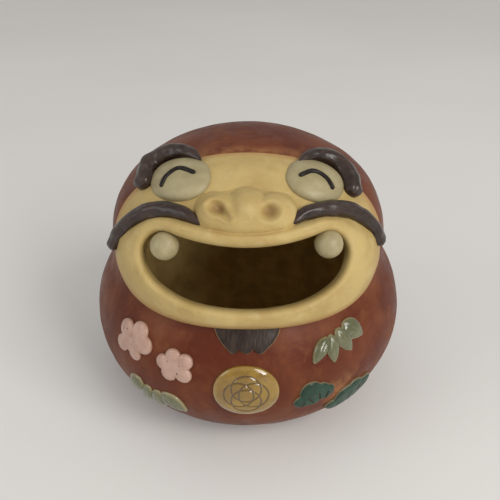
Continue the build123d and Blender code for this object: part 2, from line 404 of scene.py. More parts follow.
# How much wider the mouth is left of the middle than right of it.
LEFT_STRETCH = 1.06


def mouth_loop(count, growth):
    """The mouth's outline all the way round, moved outwards, from the middle of the lower lip."""
    half = []
    for arc in MOUTH_ARCS:
        half += arc_points(arc, growth, -1, 60)
    centre, radius, side, h0, h1 = MOUTH_ARCS[-1]
    half = np.array(half + [centre + (side * radius + growth) * normal_at(h1, -1)])
    whole = np.vstack([half, (half * [-LEFT_STRETCH, 1])[::-1][1:]])
    run = run_of(whole)
    even = np.linspace(0, run[-1], count, endpoint=False)
    return np.stack([np.interp(even, run, column) for column in whole.T], 1)


def mouth_gap(uv):
    """Distance outside the mouth's outline on the face plane."""
    u = np.where(uv[:, 0] < 0, -uv[:, 0] / LEFT_STRETCH, uv[:, 0])
    distance = arc_distance(u, uv[:, 1], MOUTH_ARCS, -1, 0.5)[0]
    return np.where(np.isinf(distance), 20.0, distance)


def face_ratio(uv):
    """0 at the middle of the face, 1 on its outline, which is squarer below than above."""
    power = 2.45 - 0.33 * smooth(92, 112, uv[:, 1])
    wide = np.abs(uv[:, 0] / FACE_HALF[0]) ** power
    return (wide + np.abs((uv[:, 1] - FACE_MIDDLE) / FACE_HALF[1]) ** power) ** (1 / power)


def face_gap(uv):
    """Distance inside the face's outline, measured towards its middle."""
    ratio = np.maximum(face_ratio(uv), 1e-6)
    return np.hypot(uv[:, 0], uv[:, 1] - FACE_MIDDLE) / ratio * (1 - ratio)


BODY_COLS = 420
# Points per millimetre along the skin and the inner wall.
SKIN_FINENESS = 0.8
INNER_FINENESS = 0.55
# Radius of the plain discs that close the floor and the recess below it.
DISC = 30.0


def body_profile():
    """Half section of the wall: skin, foot ring, recess, floor and inner wall.

    The row number of the recess's disc comes with it; the floor's disc is the next row.
    """
    outer = section(0.0, SKIN_FINENESS)
    outer = outer[outer[:, 1] > 0.9]
    stand = outer[-1, 0]
    recess, depth = FOOT_RECESS
    foot = [(stand - 1.0, 0.3), (stand - 1.8, 0.03), (stand - 2.6, 0.0), (recess + 0.8, 0.0)]
    foot += [(recess, 0.4), (recess - 0.4, depth), (DISC, depth)]
    inner = section(-WALL, INNER_FINENESS)
    inner = inner[inner[:, 1] > FLOOR + 3.0][::-1]
    corner = inner[0, 0]
    floor = [(DISC, FLOOR), (corner - 9.0, FLOOR), (corner - 4.0, FLOOR + 0.5)]
    floor += [(corner - 1.5, FLOOR + 1.4)]
    return np.vstack([outer[1:], foot, floor, inner[:-1]]), len(outer) + len(foot) - 2


def hand_worked(points):
    """The shell's points, pressed uneven by hand outside and ringed by the fingers inside."""
    distance, normal = skin(points)
    outside = smooth(-3.0, -0.5, distance) * smooth(0.3, 4.0, points[:, 2])
    inside = smooth(-3.5, -6.0, distance) * smooth(FLOOR + 0.5, FLOOR + 8, points[:, 2])
    hand = 0.30 * (1 + ripple(points, 70, 3)) + 0.10 * (1 + ripple(points, 17, 4))
    rings = 0.35 * (1 + np.sin(points[:, 2] / 1.25 + 0.9 * ripple(points, 50, 5)))
    return points - normal * (outside * np.maximum(hand, 0) + inside * rings)[:, None]


def make_body():
    """The thrown shell in one closed turn, with the mouth cut out."""
    profile, recess_row = body_profile()
    rows = len(profile)
    turn = np.tile(turns(BODY_COLS) + 0.5 * math.pi, rows)
    radius = np.repeat(profile[:, 0], BODY_COLS)
    wall = np.column_stack([compass(turn) * radius[:, None], np.repeat(profile[:, 1], BODY_COLS)])
    poles = [(0, 0, z) for z in (CROWN, FOOT_RECESS[1], FLOOR, CROWN - WALL)]
    faces = strips(rows, BODY_COLS)
    del faces[recess_row * BODY_COLS : (recess_row + 1) * BODY_COLS]
    for step, row in enumerate((0, recess_row, recess_row + 1, rows - 1)):
        faces += fan(row * BODY_COLS, BODY_COLS, rows * BODY_COLS + step, step % 2 == 1)
    points = hand_worked(np.vstack([wall, poles]))
    body = to_object("body_shell_clay", points, faces, "brown_slip", ["body_shell"], {})
    cut_mouth(body)
    return body


def cut_mouth(body):
    """Takes the mouth out of the shell, a little wider than the lip's inner wall."""
    loop = mouth_loop(200, 2.4)
    near = loop[:, :1] * ACROSS + loop[:, 1:2] * UPWARD + 95.0 * OUTWARD
    far = near + 100.0 * OUTWARD
    count = len(loop)
    faces = [(j, (j + 1) % count, count + (j + 1) % count, count + j) for j in range(count)]
    faces += [tuple(range(count))[::-1], tuple(range(count, 2 * count))]
    mesh = bpy.data.meshes.new("mouth_cutter")
    mesh.from_pydata((np.vstack([near, far]) * UNIT).tolist(), [], faces)
    cutter = add_object("mouth_cutter", mesh)
    modifier = body.modifiers.new("mouth", "BOOLEAN")
    modifier.operation = "DIFFERENCE"
    modifier.object = cutter
    modifier.solver = "EXACT"
    bpy.context.view_layer.update()
    graph = bpy.context.evaluated_depsgraph_get()
    cut = bpy.data.meshes.new_from_object(body.evaluated_get(graph))
    body.modifiers.clear()
    body.data = cut
    bpy.data.objects.remove(cutter)
    smooth_shaded(cut)


def paint_body(body):
    """Fields for the slip: inside, the thin halo round the face and the pines, and the bare foot."""
    co = np.zeros(len(body.data.vertices) * 3)
    body.data.vertices.foreach_get("co", co)
    points = co.reshape(-1, 3) / UNIT
    uv = np.stack([points @ ACROSS, points @ UPWARD], 1)
    front = smooth(10, -20, points[:, 1])
    hood = np.exp(-(((face_ratio(uv) - 1) * 60 / 9.0) ** 2)) * front * smooth(118, 140, uv[:, 1])
    fields = {
        "inside": smooth(-2.0, -4.0, skin(points)[0]) * smooth(1.6, 4.0, points[:, 2]),
        "thin": 0.6 * hood + pine_glow(points),
        "bare": smooth(2.2, 0.8, points[:, 2]),
    }
    paint(body.data, fields)


# Azimuth, height, half width, half height and strength of each patch of thin slip at the pines.
GLOWS = [(32, 52, 13, 15, 0.9), (22, 56, 20, 13, 0.5)]


def pine_glow(points):
    """Where the slip is rubbed thin round the two pine crowns."""
    glow = np.zeros(len(points))
    for azimuth, z, wide, tall, strength in GLOWS:
        spot = Spot(azimuth, z)
        a = (points - spot.origin) @ spot.a
        b = (points - spot.origin) @ spot.b
        near = np.exp(-((a / wide) ** 2) - (b / tall) ** 2)
        glow = np.maximum(glow, strength * near * (points @ spot.normal > 0))
    return glow


# ---- face: slab, lip and nose in one skin of bare clay ----
FACE_COLS = 840
NOSE_MIDDLE = 109.5
# Middle, half sizes, lean and depth of the nostrils' dimples.
DIMPLES = [
    ((-17.2, 111.6), (4.4, 3.4), -25, 5.6),
    ((-13.2, 108.0), (3.8, 1.9), -48, 3.0),
    ((12.6, 109.4), (4.2, 4.0), 30, 5.4),
]


def nose_height(uv):
    """A ball between two wings over one broad mass, with a dimple pressed into each wing.

    The fold at the nose's foot, 1 along it and 0 away from it, comes with the height.
    """

    def lobe(middle, half_sizes, lean, tall, fall):
        return tall * rounded(oval(uv, middle, half_sizes, lean, 2.2), 2, fall)

    ball = lobe((-0.5, NOSE_MIDDLE + 3.0), (10.6, 12.6), 0, 12.0, 0.6)
    left = lobe((-18.0, NOSE_MIDDLE + 0.8), (12.4, 11.8), 10, 10.4, 0.5)
    right = lobe((17.0, NOSE_MIDDLE + 0.3), (12.0, 11.8), -10, 10.4, 0.5)
    mass = lobe((-0.5, NOSE_MIDDLE - 4.0), (26.0, 9.8), 0, 10.2, 0.55)
    wings = soft_max(left, right, 1.0)
    height = soft_max(soft_max(ball, wings, 0.9), mass, 2.4)
    height = np.where(height < 0.6, 0, height)
    for middle, half_sizes, lean, depth in DIMPLES:
        rho = oval(uv, middle, half_sizes, lean)
        rim = 0.7 * np.exp(-(((rho - 1.7) / 0.4) ** 2))
        height = height - depth * np.exp(-(rho**3) * 0.8) + rim
    around = np.hypot(uv[:, 0] / 29.5, (uv[:, 1] - NOSE_MIDDLE) / 14.2)
    foot = np.exp(-(((around - 1) / 0.06) ** 2))
    return height, foot


# Distance of the lip's crest from the mouth's outline.
LIP_CREST = 5.2
# Where the cheek's roll gives way to the flat of the face: v at each distance from the middle.
CHEEK_LINE = ([0, 30, 45, 55, 67, 78, 88], [91, 92, 99, 107, 106, 104, 104])


def lip_shape(uv):
    """Height of the lip's crest, the share taken by the face's flat, and the height over its line."""
    over = uv[:, 1] - np.interp(np.abs(uv[:, 0]), *CHEEK_LINE)
    upper = smooth(-8, 6, over)
    high = smooth(82, 100, uv[:, 1])
    side = smooth(20, 60, np.abs(uv[:, 0]))
    crest = (9.3 - 0.9 * side) * (1 - high) + (7.6 - 0.6 * side) * high
    return crest, upper, over


def face_height(uv):
    """Height of the bare clay over the vessel's skin, outside the lip's crest."""
    gap = mouth_gap(uv)
    edge = np.maximum(face_gap(uv), 0)
    crest, upper, over = lip_shape(uv)
    x = np.clip((gap - LIP_CREST) / np.maximum(gap + edge - LIP_CREST, 0.5), 0, 1)
    rolled = crest * (1 - x**2.3) ** 0.55
    corner = smooth(76, 87, np.abs(uv[:, 0])) * smooth(-26, -6, over)
    thin = np.maximum(0.5 * smooth(-14, 2, over), 0.85 * corner)
    rolled = rolled * (1 - thin * smooth(LIP_CREST, LIP_CREST + 9, gap))
    slab = 0.2 + 2.8 * smooth(0, 12, edge) * smooth(84, 52, np.abs(uv[:, 0]))
    fall = smooth(LIP_CREST + 5.5, LIP_CREST, gap)
    crease = 0.9 * np.exp(-(((gap - LIP_CREST - 5.4) / 1.3) ** 2))
    topped = slab + (crest - slab) * fall - crease
    nose, foot = nose_height(uv)
    topped = soft_max(topped, slab * 0.55 + nose, 1.2) - 0.8 * foot * smooth(99, 104, uv[:, 1])
    height = rolled * (1 - upper) + topped * upper
    feather = smooth(0, 2.5, edge)
    sculpt = 0.10 * ripple(uv, 14, 11) + 0.035 * ripple(uv, 4.5, 12)
    return height + feather * sculpt * smooth(0, 4, edge)


MOUTH_MIDDLE = np.array([0.0, 84.0])
# The lip's inner wall from its lower end upwards: distance outside the mouth's outline, and height.
LIP_WALL = [(1.6, -8.4), (0.6, -8.2), (0.0, -7.0), (-0.3, -4.5), (-0.4, -2.0)]


def face_rim(mouth):
    """Where rays from the mouth's middle through its outline meet the face's outline."""
    ray = mouth - MOUTH_MIDDLE
    ray /= lengths(ray)
    near = np.zeros(len(ray))
    far = np.full(len(ray), 120.0)
    for _ in range(40):
        half_way = (near + far) / 2
        inside = face_ratio(MOUTH_MIDDLE + ray * half_way[:, None]) < 1
        near = np.where(inside, half_way, near)
        far = np.where(inside, far, half_way)
    return MOUTH_MIDDLE + ray * near[:, None]


def face_rows():
    """Rows of (uv, height) up the lip's wall, over its crest to the face's edge and back below."""
    mouth = mouth_loop(FACE_COLS, 0.0)
    out = mouth_loop(FACE_COLS, 1.0) - mouth
    out /= lengths(out)
    start = mouth + out * LIP_CREST
    rim = face_rim(mouth)
    crest = lip_shape(start)[0]
    level = np.ones(FACE_COLS)
    rows = [(mouth + out * gap, level * height) for gap, height in LIP_WALL]
    for swing in np.linspace(0.5 * math.pi, 0, 15):
        uv = mouth + out * (LIP_CREST - (LIP_CREST + 0.4) * math.sin(swing))
        rows.append((uv, crest - (crest - 1.5) * (1 - math.cos(swing))))
    for share in 1 - (1 - np.linspace(0.008, 1, 118)) ** 1.12:
        uv = start + (rim - start) * share
        rows.append((uv, face_height(uv)))
    edge = rows[-1][0]
    rows.append((edge + (start - edge) / lengths(start - edge) * 0.15, level * -0.5))
    for share in (0.33, 0.66):
        rows.append((edge + (mouth + out * 1.7 - edge) * share, level * -0.8))
    rows.append((mouth + out * 1.8, level * -1.0))
    return rows


def make_face():
    """Slab, lip and nose in one skin; its last row joins the first, below the lip."""
    rows = face_rows()
    uv = np.concatenate([row[0] for row in rows])
    rise = np.concatenate([row[1] for row in rows])
    faces = strips(len(rows), FACE_COLS)
    last = (len(rows) - 1) * FACE_COLS
    for j in range(FACE_COLS):
        k = (j + 1) % FACE_COLS
        faces.append((last + j, last + k, k, j))
    fields = {"edge": np.clip(face_ratio(uv), 0, 1.2), "hollow_shade": painted_hollow_shade(uv, rise)}
    nodes = ["face_slab", "lip_coil", "nose"]
    return to_object("face_clay", on_face(uv, rise)[0], faces, "bare_buff_clay", nodes, fields)


def painted_hollow_shade(uv, rise):
    """Painted shade: darker in the nostrils and on the lip's inner wall deep inside the mouth."""
    deep = np.zeros(len(uv))
    for middle, half_sizes in [((-16.8, 111.3), (5.5, 4.5)), ((12.4, 109.6), (5.0, 4.6))]:
        deep = np.maximum(deep, np.exp(-(oval(uv, middle, half_sizes, 0) ** 2)))
    return np.maximum(deep, smooth(-3.0, -8.0, rise) * (mouth_gap(uv) < 3))


# ---- eyes, smile lines and teeth ----
# Middle, half sizes and lean of each eye.
EYES = {
    "left": ((-40.3, 130.5), (19.4, 14.7), 0.0),
    "right": ((40.4, 129.3), (18.6, 14.0), -14.0),
}
SMILES = {
    "left": [(-51.2, 125.1), (-48.2, 131.8), (-40.6, 136.6), (-30.4, 133.1)],
    "right": [(50.5, 123.6), (46.1, 131.0), (38.5, 134.6), (29.9, 131.2)],
}
EYE_SQUARENESS = 2.15
EYE_SEAT = 1.2
EYE_TALL = 7.2
SMILE_RADIUS = 1.45


def eye_height(uv, side):
    """Height of the eye's top over the body's skin."""
    rho = np.minimum(oval(uv, *EYES[side], EYE_SQUARENESS), 1)
    dent = 0.08 * ripple(uv, 9, 21)
    return EYE_SEAT + EYE_TALL * (1 - rho**2.8) ** 0.5 + dent * (1 - rho**4)


def make_eye(side):
    """A pad of clay pressed on the face, with a closed flat underside."""
    middle, half_sizes, lean = EYES[side]
    middle = np.array(middle)
    cols = 240
    unit = compass(turns(cols))
    rim = unit / oval(unit, (0, 0), half_sizes, lean, EYE_SQUARENESS)[:, None]
    rho = 1 - (1 - np.linspace(0.02, 1, 60)) ** 1.6
    grid = np.repeat(rho, cols)
    uv = middle + np.tile(rim, (len(rho), 1)) * grid[:, None]
    flat = np.concatenate([uv, middle + rim, middle + rim * 0.5, [middle]])
    rise = np.concatenate([eye_height(uv, side), np.full(2 * cols + 1, 0.4)])
    faces = pad_faces(len(rho) + 2, cols)
    points = on_face(flat, rise)[0]
    fields = {"edge": np.concatenate([grid, np.ones(2 * cols), [0]])}
    return to_object(f"eye_{side}_pad", points, faces, "pale_slip", [f"eye_{side}"], fields)


def make_smile(side):
    """A thin black coil laid in an arch on the eye, half sunk in it."""
    uv, _, run = curve_through(SMILES[side], 90)
    line, ups = on_face(uv, eye_height(uv, side) + 0.25)
    near_end = np.minimum(run, run[-1] - run)
    radius = SMILE_RADIUS * round_end(near_end, SMILE_RADIUS, 0.03)
    half_sizes = (radius * (1 + 0.06 * ripple(uv, 5, 31)), radius * 0.9)
    name = f"smile_line_{side}"
    return roll(name + "_coil", line, ups, half_sizes, "black_glaze", [name], 20)


def make_tooth(side):
    """A ball of clay rolled between the palms, a little uneven, tucked behind the upper lip."""
    low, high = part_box(f"tooth_{side}")
    middle = np.array((low + high) / 2) / UNIT
    radius = (high[0] - low[0]) / 2 / UNIT
    rows, cols = 56, 80
    polar = np.repeat(np.linspace(0.03, math.pi - 0.03, rows), cols)
    level = compass(np.tile(turns(cols), rows)) * np.sin(polar)[:, None]
    unit = np.vstack([np.column_stack([level, np.cos(polar)]), [[0, 0, 1], [0, 0, -1]]])
    seed = 41 if side == "left" else 42
    points = middle + unit * (radius * (0.985 + 0.012 * ripple(unit, 1.1, seed)))[:, None]
    faces = strips(rows, cols) + fan(0, cols, rows * cols, False)
    faces += fan((rows - 1) * cols, cols, rows * cols + 1)
    fields = {"edge": np.zeros(len(points))}
    return to_object(f"tooth_{side}_ball", points, faces, "pale_slip", [f"tooth_{side}"], fields)


# ---- brows and moustaches ----
BROWS = {
    "left": [(-28, 142), (-35, 147.5), (-45, 149.8), (-55, 147.5), (-62.5, 140), (-64, 126)],
    "right": [(31, 141), (37.5, 145.5), (47, 147), (56.5, 143), (62.5, 134), (64.5, 120.5)],
}
BROW_RADII = [1.8, 3.8, 5.2, 5.9, 6.3, 6.0]
BROW_RISE = 3.6
MOUSTACHES = {
    "left": [(-26.0, 102.6), (-36, 108.5), (-52, 111.6), (-67, 107.6), (-79, 99.0), (-86, 89.5)],
    "right": [(24.5, 103.0), (34, 109), (49, 112), (64, 110.6), (76.5, 103.0), (84, 92)],
}
MOUSTACHE_RADII = [1.8, 4.3, 5.1, 5.0, 4.8, 4.0]
MOUSTACHE_RISE = 4.4


# Length over which a roll swells from its inner tip.
TIP = 7.0
# Points over which a roll's thickness is averaged.
SOFTENING = 25


def make_roll(name, route, radii, rise, seed, lumps, wrinkles, blunt):
    """A tapered roll with a round outer end, hand-pressed lumps and lengthwise wrinkles."""
    uv, knot, run = curve_through(route, 170)
    radius = np.pad(np.interp(knot, range(len(radii)), radii), SOFTENING // 2, mode="edge")
    radius = np.convolve(radius, np.ones(SOFTENING) / SOFTENING, mode="valid")
    radius = radius * round_end(run, TIP, 0.01) * round_end(run[-1] - run, blunt, 0.01)
    line, ups = on_face(uv, rise)

    def dent(along, turn):
        ring = np.column_stack([along / 9.0, compass(turn) * 0.5])
        furrow = np.column_stack([along / 22.0, compass(turn) * 1.6])
        return lumps * ripple(ring, 1.0, seed) + wrinkles * ripple(furrow, 0.9, seed + 1)

    half_sizes = (radius, radius * 0.98)
    return roll(name + "_roll", line, ups, half_sizes, "dark_slip", [name], 56, dent)


# ---- reliefs on the belly ----
def reach_of(angles, loop, middle):
    """Distance from middle to a closed loop of points, for each angle."""
    p = np.asarray(loop, float) - middle
    step = np.roll(p, -1, axis=0) - p
    reach = np.zeros(len(angles))
    for i, (x, y) in enumerate(compass(angles)):
        cross = x * step[:, 1] - y * step[:, 0]
        cross = np.where(np.abs(cross) < 1e-12, 1e-12, cross)
        t = (p[:, 0] * step[:, 1] - p[:, 1] * step[:, 0]) / cross
        share = (p[:, 0] * y - p[:, 1] * x) / cross
        hit = (t > 0) & (share >= -1e-6) & (share <= 1 + 1e-6)
        reach[i] = t[hit].max()
    return reach


# Where the scallops of the goatee's lower edge meet.
GOATEE_CUSPS = [-12.2, -5.0, 3.6, 11.6]
GOATEE_MIDDLE = (0.0, 3.5)


def make_goatee():
    """A brushed shield under the lip, with a scalloped lower edge."""
    loop = [(-20.3, 9.5), (-18.4, 3.6), (-15.8, -0.9)]
    for x0, x1 in zip(GOATEE_CUSPS, GOATEE_CUSPS[1:]):
        for t in np.linspace(0.04, 0.96, 12):
            loop.append((x0 + (x1 - x0) * t, -4.6 - 3.1 * math.sin(math.pi * t) ** 0.8))
    loop += [(15.6, -0.9), (18.2, 3.4), (20.2, 9.5)]
    outline = blurred(reach_of(turns(420), loop, GOATEE_MIDDLE), 1)

    def height(rho, ab):
        strokes = 0.035 * ripple(ab * (1.2, 0.22), 1.6, 51)
        return 0.4 + 1.75 * rounded(rho, 9, 0.6) + strokes * (1 - rho**6)

    look = ("charcoal_slip", ["goatee"], 60, GOATEE_MIDDLE)
    return pat("goatee_shield", Spot(0, 98), outline, height, *look)


MEDALLION_HALF = (20.0, 18.5)
RING_RADIUS = 9.0
# Half width and depth of the rings' grooves.
GROOVE = (0.52, 0.5)


def ring_gap(ab):
    """Distance from the nearest of the four crossing rings cut in the medallion."""
    gap = np.full(len(ab), 99.0)
    for turn in range(4):
        cx = RING_RADIUS / 2 * math.cos(turn * math.pi / 2)
        cy = RING_RADIUS / 2 * math.sin(turn * math.pi / 2)
        gap = np.minimum(gap, np.abs(np.hypot(ab[:, 0] - cx, ab[:, 1] - cy) - RING_RADIUS))
    return gap


def make_medallion():
    """A slightly domed round pat with crossing rings cut in it, each with a low burr."""
    angles = turns(400)
    ratio = oval(compass(angles), (0, 0), MEDALLION_HALF, 0, 2.08)
    outline = (1 + 0.006 * np.sin(3 * angles + 1)) / ratio

    def height(rho, ab):
        top = 0.5 + 1.8 * rounded(rho, 8, 0.5) + 0.95 * rounded(rho, 2, 1)
        off = ring_gap(ab)
        groove = GROOVE[1] * np.exp(-((off / GROOVE[0]) ** 2))
        burr = 0.05 * np.exp(-(((off - 1.1) / 0.5) ** 2))
        return top + 0.06 * ripple(ab, 7, 61) - groove + burr

    def cut(ab):
        return np.exp(-((ring_gap(ab) / 0.7) ** 2))

    look = ("amber_glaze", ["medallion"], 130)
    return pat("medallion_pat", Spot(-0.5, 66), outline, height, *look, cut=cut)


# Azimuth and height, petals (x, y, radius) and the round core of each blossom.
BLOSSOMS = {
    "upper": (
        (-41.0, 84.0),
        [(-8.6, 3.8, 6.2), (3.0, 6.8, 6.2), (8.0, -0.6, 6.2), (1.5, -9.8, 4.5), (-10.8, -7.2, 5.8)],
        (-1.5, -1.0, 9.6),
    ),
    "lower": (
        (-24.0, 78.0),
        [(-1.5, 5.7, 5.2), (6.5, 4.3, 5.2), (6.2, -4.6, 5.3), (-3.7, -6.0, 5.4), (-7.7, 0.5, 5.2)],
        (0.0, 0.0, 7.6),
    ),
}
# Small pits (x, y, radius) pressed in each blossom.
PITS = {
    "upper": [(-10.6, 3.2, 0.7), (-7.2, 4.2, 0.7), (-2.6, 1.2, 0.45), (1.0, -1.4, 0.45)],
    "lower": [(2.6, -4.2, 0.7), (-4.4, 2.4, 0.4), (3.6, 1.6, 0.4)],
}


def pits(ab, which):
    """1 in the middle of each pit of a blossom, 0 away from them."""
    deep = np.zeros(len(ab))
    for x, y, radius in PITS[which]:
        off = ((ab[:, 0] - x) / radius) ** 2 + ((ab[:, 1] - y) / (1.6 * radius)) ** 2
        deep = np.maximum(deep, np.exp(-off))
    return deep


def make_blossom(which):
    """A five-petalled pat, with a low ridge out along each petal."""
    place, petals, core = BLOSSOMS[which]
    middle = np.array(core[:2])
    circles = [(x - middle[0], y - middle[1], r) for x, y, r in petals] + [(0, 0, core[2])]
    outline = blurred(lobed(turns(360), circles), 3)

    def height(rho, ab):
        top = 0.5 + 1.75 * rounded(rho, 8, 0.6)
        for x, y, radius in petals:
            toward = np.array([x, y]) - middle
            toward = toward / np.linalg.norm(toward)
            along = (ab - middle) @ toward
            over = (ab - middle) @ (-toward[1], toward[0])
            top = top + 0.14 * np.exp(-((over / 4.0) ** 2)) * smooth(3, 8, along)
        return top - 0.7 * pits(ab, which) + 0.06 * ripple(ab, 6, 71)

    def cut(ab):
        return pits(ab, which)

    look = ("pink_slip", [f"blossom_{which}"], 70, middle, cut)
    return pat(f"blossom_{which}_pat", Spot(*place), outline, height, *look)


# Spot, root, tip and half width of each leaf, on the spot's own flat coordinates.
LEAVES = {
    "bamboo_right_leaf_1": ((25, 86), (4.4, 8.9), (-6.6, -5.8), 4.5),
    "bamboo_right_leaf_2": ((28, 88), (1.4, 7.6), (2.3, -11.4), 4.6),
    "bamboo_right_leaf_3": ((33, 90), (-2.6, 7.2), (6.6, -10.2), 5.4),
    "bamboo_right_leaf_4": ((40, 94), (-9.6, 4.6), (4.6, -8.6), 6.6),
    "bamboo_left_leaf_1": ((-33, 45), (-12.4, 11.0), (-22.6, -7.0), 6.6),
    "bamboo_left_leaf_2": ((-33, 45), (-5.4, 7.6), (-12.4, -14.6), 5.6),
    "bamboo_left_leaf_3": ((-33, 45), (2.2, 7.6), (0.2, -13.4), 6.0),
    "bamboo_left_leaf_4": ((-33, 45), (5.4, 7.4), (20.6, -7.0), 7.6),
}


def make_leaf(name, order):
    """A pillow of clay, round at the root and pointed at the tip, with a low groove down it."""
    place, root, tip, half_width = LEAVES[name]
    root = np.array(root)
    run = np.array(tip) - root
    length = np.linalg.norm(run)
    run = run / length
    over = np.array([-run[1], run[0]])
    t = np.linspace(0, 1, 60)
    width = half_width * np.sin(math.pi * t**0.82) ** 0.72
    width[0] = width[-1] = 0
    spine = root + np.outer(t * length, run)
    loop = np.vstack([spine + np.outer(width, over), (spine - np.outer(width, over))[::-1][1:-1]])
    middle = root + run * length * 0.45
    outline = blurred(reach_of(turns(220), loop, middle), 1)

    def height(rho, ab):
        along = (ab - root) @ run / length
        off = (ab - root) @ over
        top = 0.35 + (3.1 - 0.25 * order) * rounded(rho, 2.6, 0.62)
        ends = smooth(0.05, 0.3, along) * smooth(1.0, 0.7, along)
        return top - 0.30 * np.exp(-((off / 0.7) ** 2)) * ends + 0.07 * ripple(ab, 5, 81 + order)

    look = ("celadon_glaze", [name], 40, middle)
    return pat(name + "_pillow", Spot(*place), outline, height, *look)


# Azimuth and height, lobes (x, y, radius), middle, and cut strokes (x, y, lean, half length).
PINES = {
    "pine_inner": (
        (22, 56),
        [(-8.6, -2.8, 4.8), (-2.4, 4.8, 7.6), (4.0, 3.0, 6.8), (8.8, 1.0, 5.8), (-1.0, -1.0, 6.8)],
        (0.0, 1.0),
        [(-7.8, -4.2, 65, 2.6), (-2.2, -2.4, 125, 3.2), (3.2, 0.0, 102, 3.6), (8.4, -0.2, 76, 3.2)],
    ),
    "pine_outer": (
        (38.6, 41.5),
        [(-12.5, -5, 5.6), (-5.5, 3.0, 7.8), (2, 5.0, 8.2), (13, 3.0, 6.8), (-7, -8, 7.6), (4, -5, 9.0)],
        (-1.0, -2.0),
        [(-8.0, -3.5, 60, 3.0), (-1.0, 1.5, 80, 3.8), (6.5, 2.8, 96, 3.2), (12.5, 2.5, 108, 2.6)],
    ),
}


def make_pine(name):
    """A cloud-shaped crown with a rim of bare clay and a few short cut strokes."""
    place, lobes, middle, strokes = PINES[name]
    circles = [(x - middle[0], y - middle[1], r) for x, y, r in lobes]
    outline = blurred(lobed(turns(360), circles), 14)

    def height(rho, ab):
        top = 0.45 + 1.9 * rounded(rho, 7, 0.6)
        return top + 0.08 * ripple(ab, 5, 91) - 0.9 * cuts(ab, strokes)

    def cut(ab):
        return cuts(ab, strokes)

    look = ("teal_slip", [name], 84, middle, cut)
    return pat(name + "_crown", Spot(*place), outline, height, *look)


def cuts(ab, strokes):
    """1 in the middle of each short stroke (x, y, lean, half length)."""
    deep = np.zeros(len(ab))
    for x, y, lean, half in strokes:
        a = math.radians(lean)
        along = (ab[:, 0] - x) * math.cos(a) + (ab[:, 1] - y) * math.sin(a)
        over = (ab[:, 1] - y) * math.cos(a) - (ab[:, 0] - x) * math.sin(a)
        shape = np.exp(-((over / 0.5) ** 2)) * smooth(half + 0.4, half - 0.6, np.abs(along))
        deep = np.maximum(deep, shape)
    return deep


# ---- material tools ----
class Graph:
    """Short calls for building one node material."""

    def __init__(self, name):
        self.material = bpy.data.materials.new(name)
        self.material.use_nodes = True
        self.tree = self.material.node_tree
        self.tree.nodes.clear()
        self.shader = self.node("BsdfPrincipled")
        self.put(self.node("OutputMaterial").inputs["Surface"], self.shader.outputs[0])
        self.place = self.node("TexCoord").outputs["Object"]

    def node(self, kind, **inputs):
        """A new node with some of its inputs set; _ stands for a space in their names."""
        node = self.tree.nodes.new("ShaderNode" + kind)
        for key, value in inputs.items():
            self.put(node.inputs[key.replace("_", " ")], value)
        return node

    def put(self, socket, value):
        """Links a node's output to the socket, or sets a plain number or colour there."""
        if isinstance(value, bpy.types.NodeSocket):
            self.tree.links.new(value, socket)
        elif isinstance(value, tuple) and len(value) == 3 and len(socket.default_value) == 4:
            socket.default_value = (*value, 1)
        else:
            socket.default_value = value

    def noise(self, scale, detail=4.0, rough=0.55, stretch=None, warp=0.0):
        """Noise on the doll's own metres; scale is in features per metre."""
        place = self.place
        if stretch:
            place = self.node("Mapping", Vector=place, Scale=stretch).outputs[0]
        node = self.node("TexNoise", Vector=place, Scale=scale, Detail=detail, Roughness=rough)
        self.put(node.inputs["Distortion"], warp)
        return node.outputs["Fac"]

    def ramp(self, value, low, high, out_low=0.0, out_high=1.0):
        """A smooth step from out_low at low to out_high at high."""
        node = self.node("MapRange", Value=value, From_Min=low, From_Max=high)
        node.interpolation_type = "SMOOTHSTEP"
        self.put(node.inputs["To Min"], out_low)
        self.put(node.inputs["To Max"], out_high)
        return node.outputs[0]

    def mix(self, share, first, second):
        """One colour over another. Sockets 6, 7 and output 2 are the mix node's colour ones."""
        node = self.node("Mix", Factor=share)
        node.data_type = "RGBA"
        self.put(node.inputs[6], first)
        self.put(node.inputs[7], second)
        return node.outputs[2]

    def tint(self, colour, value, low, high, share, second):
        """Second laid over colour, up to share, as value goes from low to high."""
        return self.mix(self.ramp(value, low, high, 0, share), colour, second)

    def combine(self, how, first, second):
        node = self.node("Math")
        node.operation = how
        self.put(node.inputs[0], first)
        self.put(node.inputs[1], second)
        return node.outputs[0]

    def add(self, first, second):
        return self.combine("ADD", first, second)

    def times(self, first, second):
        return self.combine("MULTIPLY", first, second)

    def field(self, name):
        """A number that the mesh carries at each point."""
        node = self.node("Attribute")
        node.attribute_name = name
        return node.outputs["Fac"]

    def finish(self, colour, rough, relief, depth, coat=0.0, coat_rough=0.1, level=0.5, ior=1.45):
        """Sets the shader; relief is pressed into its shading, depth metres deep."""
        bump = self.node("Bump", Strength=1.0, Distance=depth, Height=relief)
        settings = {"Base Color": colour, "Roughness": rough, "Normal": bump.outputs[0]}
        settings.update({"IOR": ior, "Specular IOR Level": level})
        settings.update({"Coat Weight": coat, "Coat Roughness": coat_rough})
        for key, value in settings.items():
            self.put(self.shader.inputs[key], value)
        return self.material


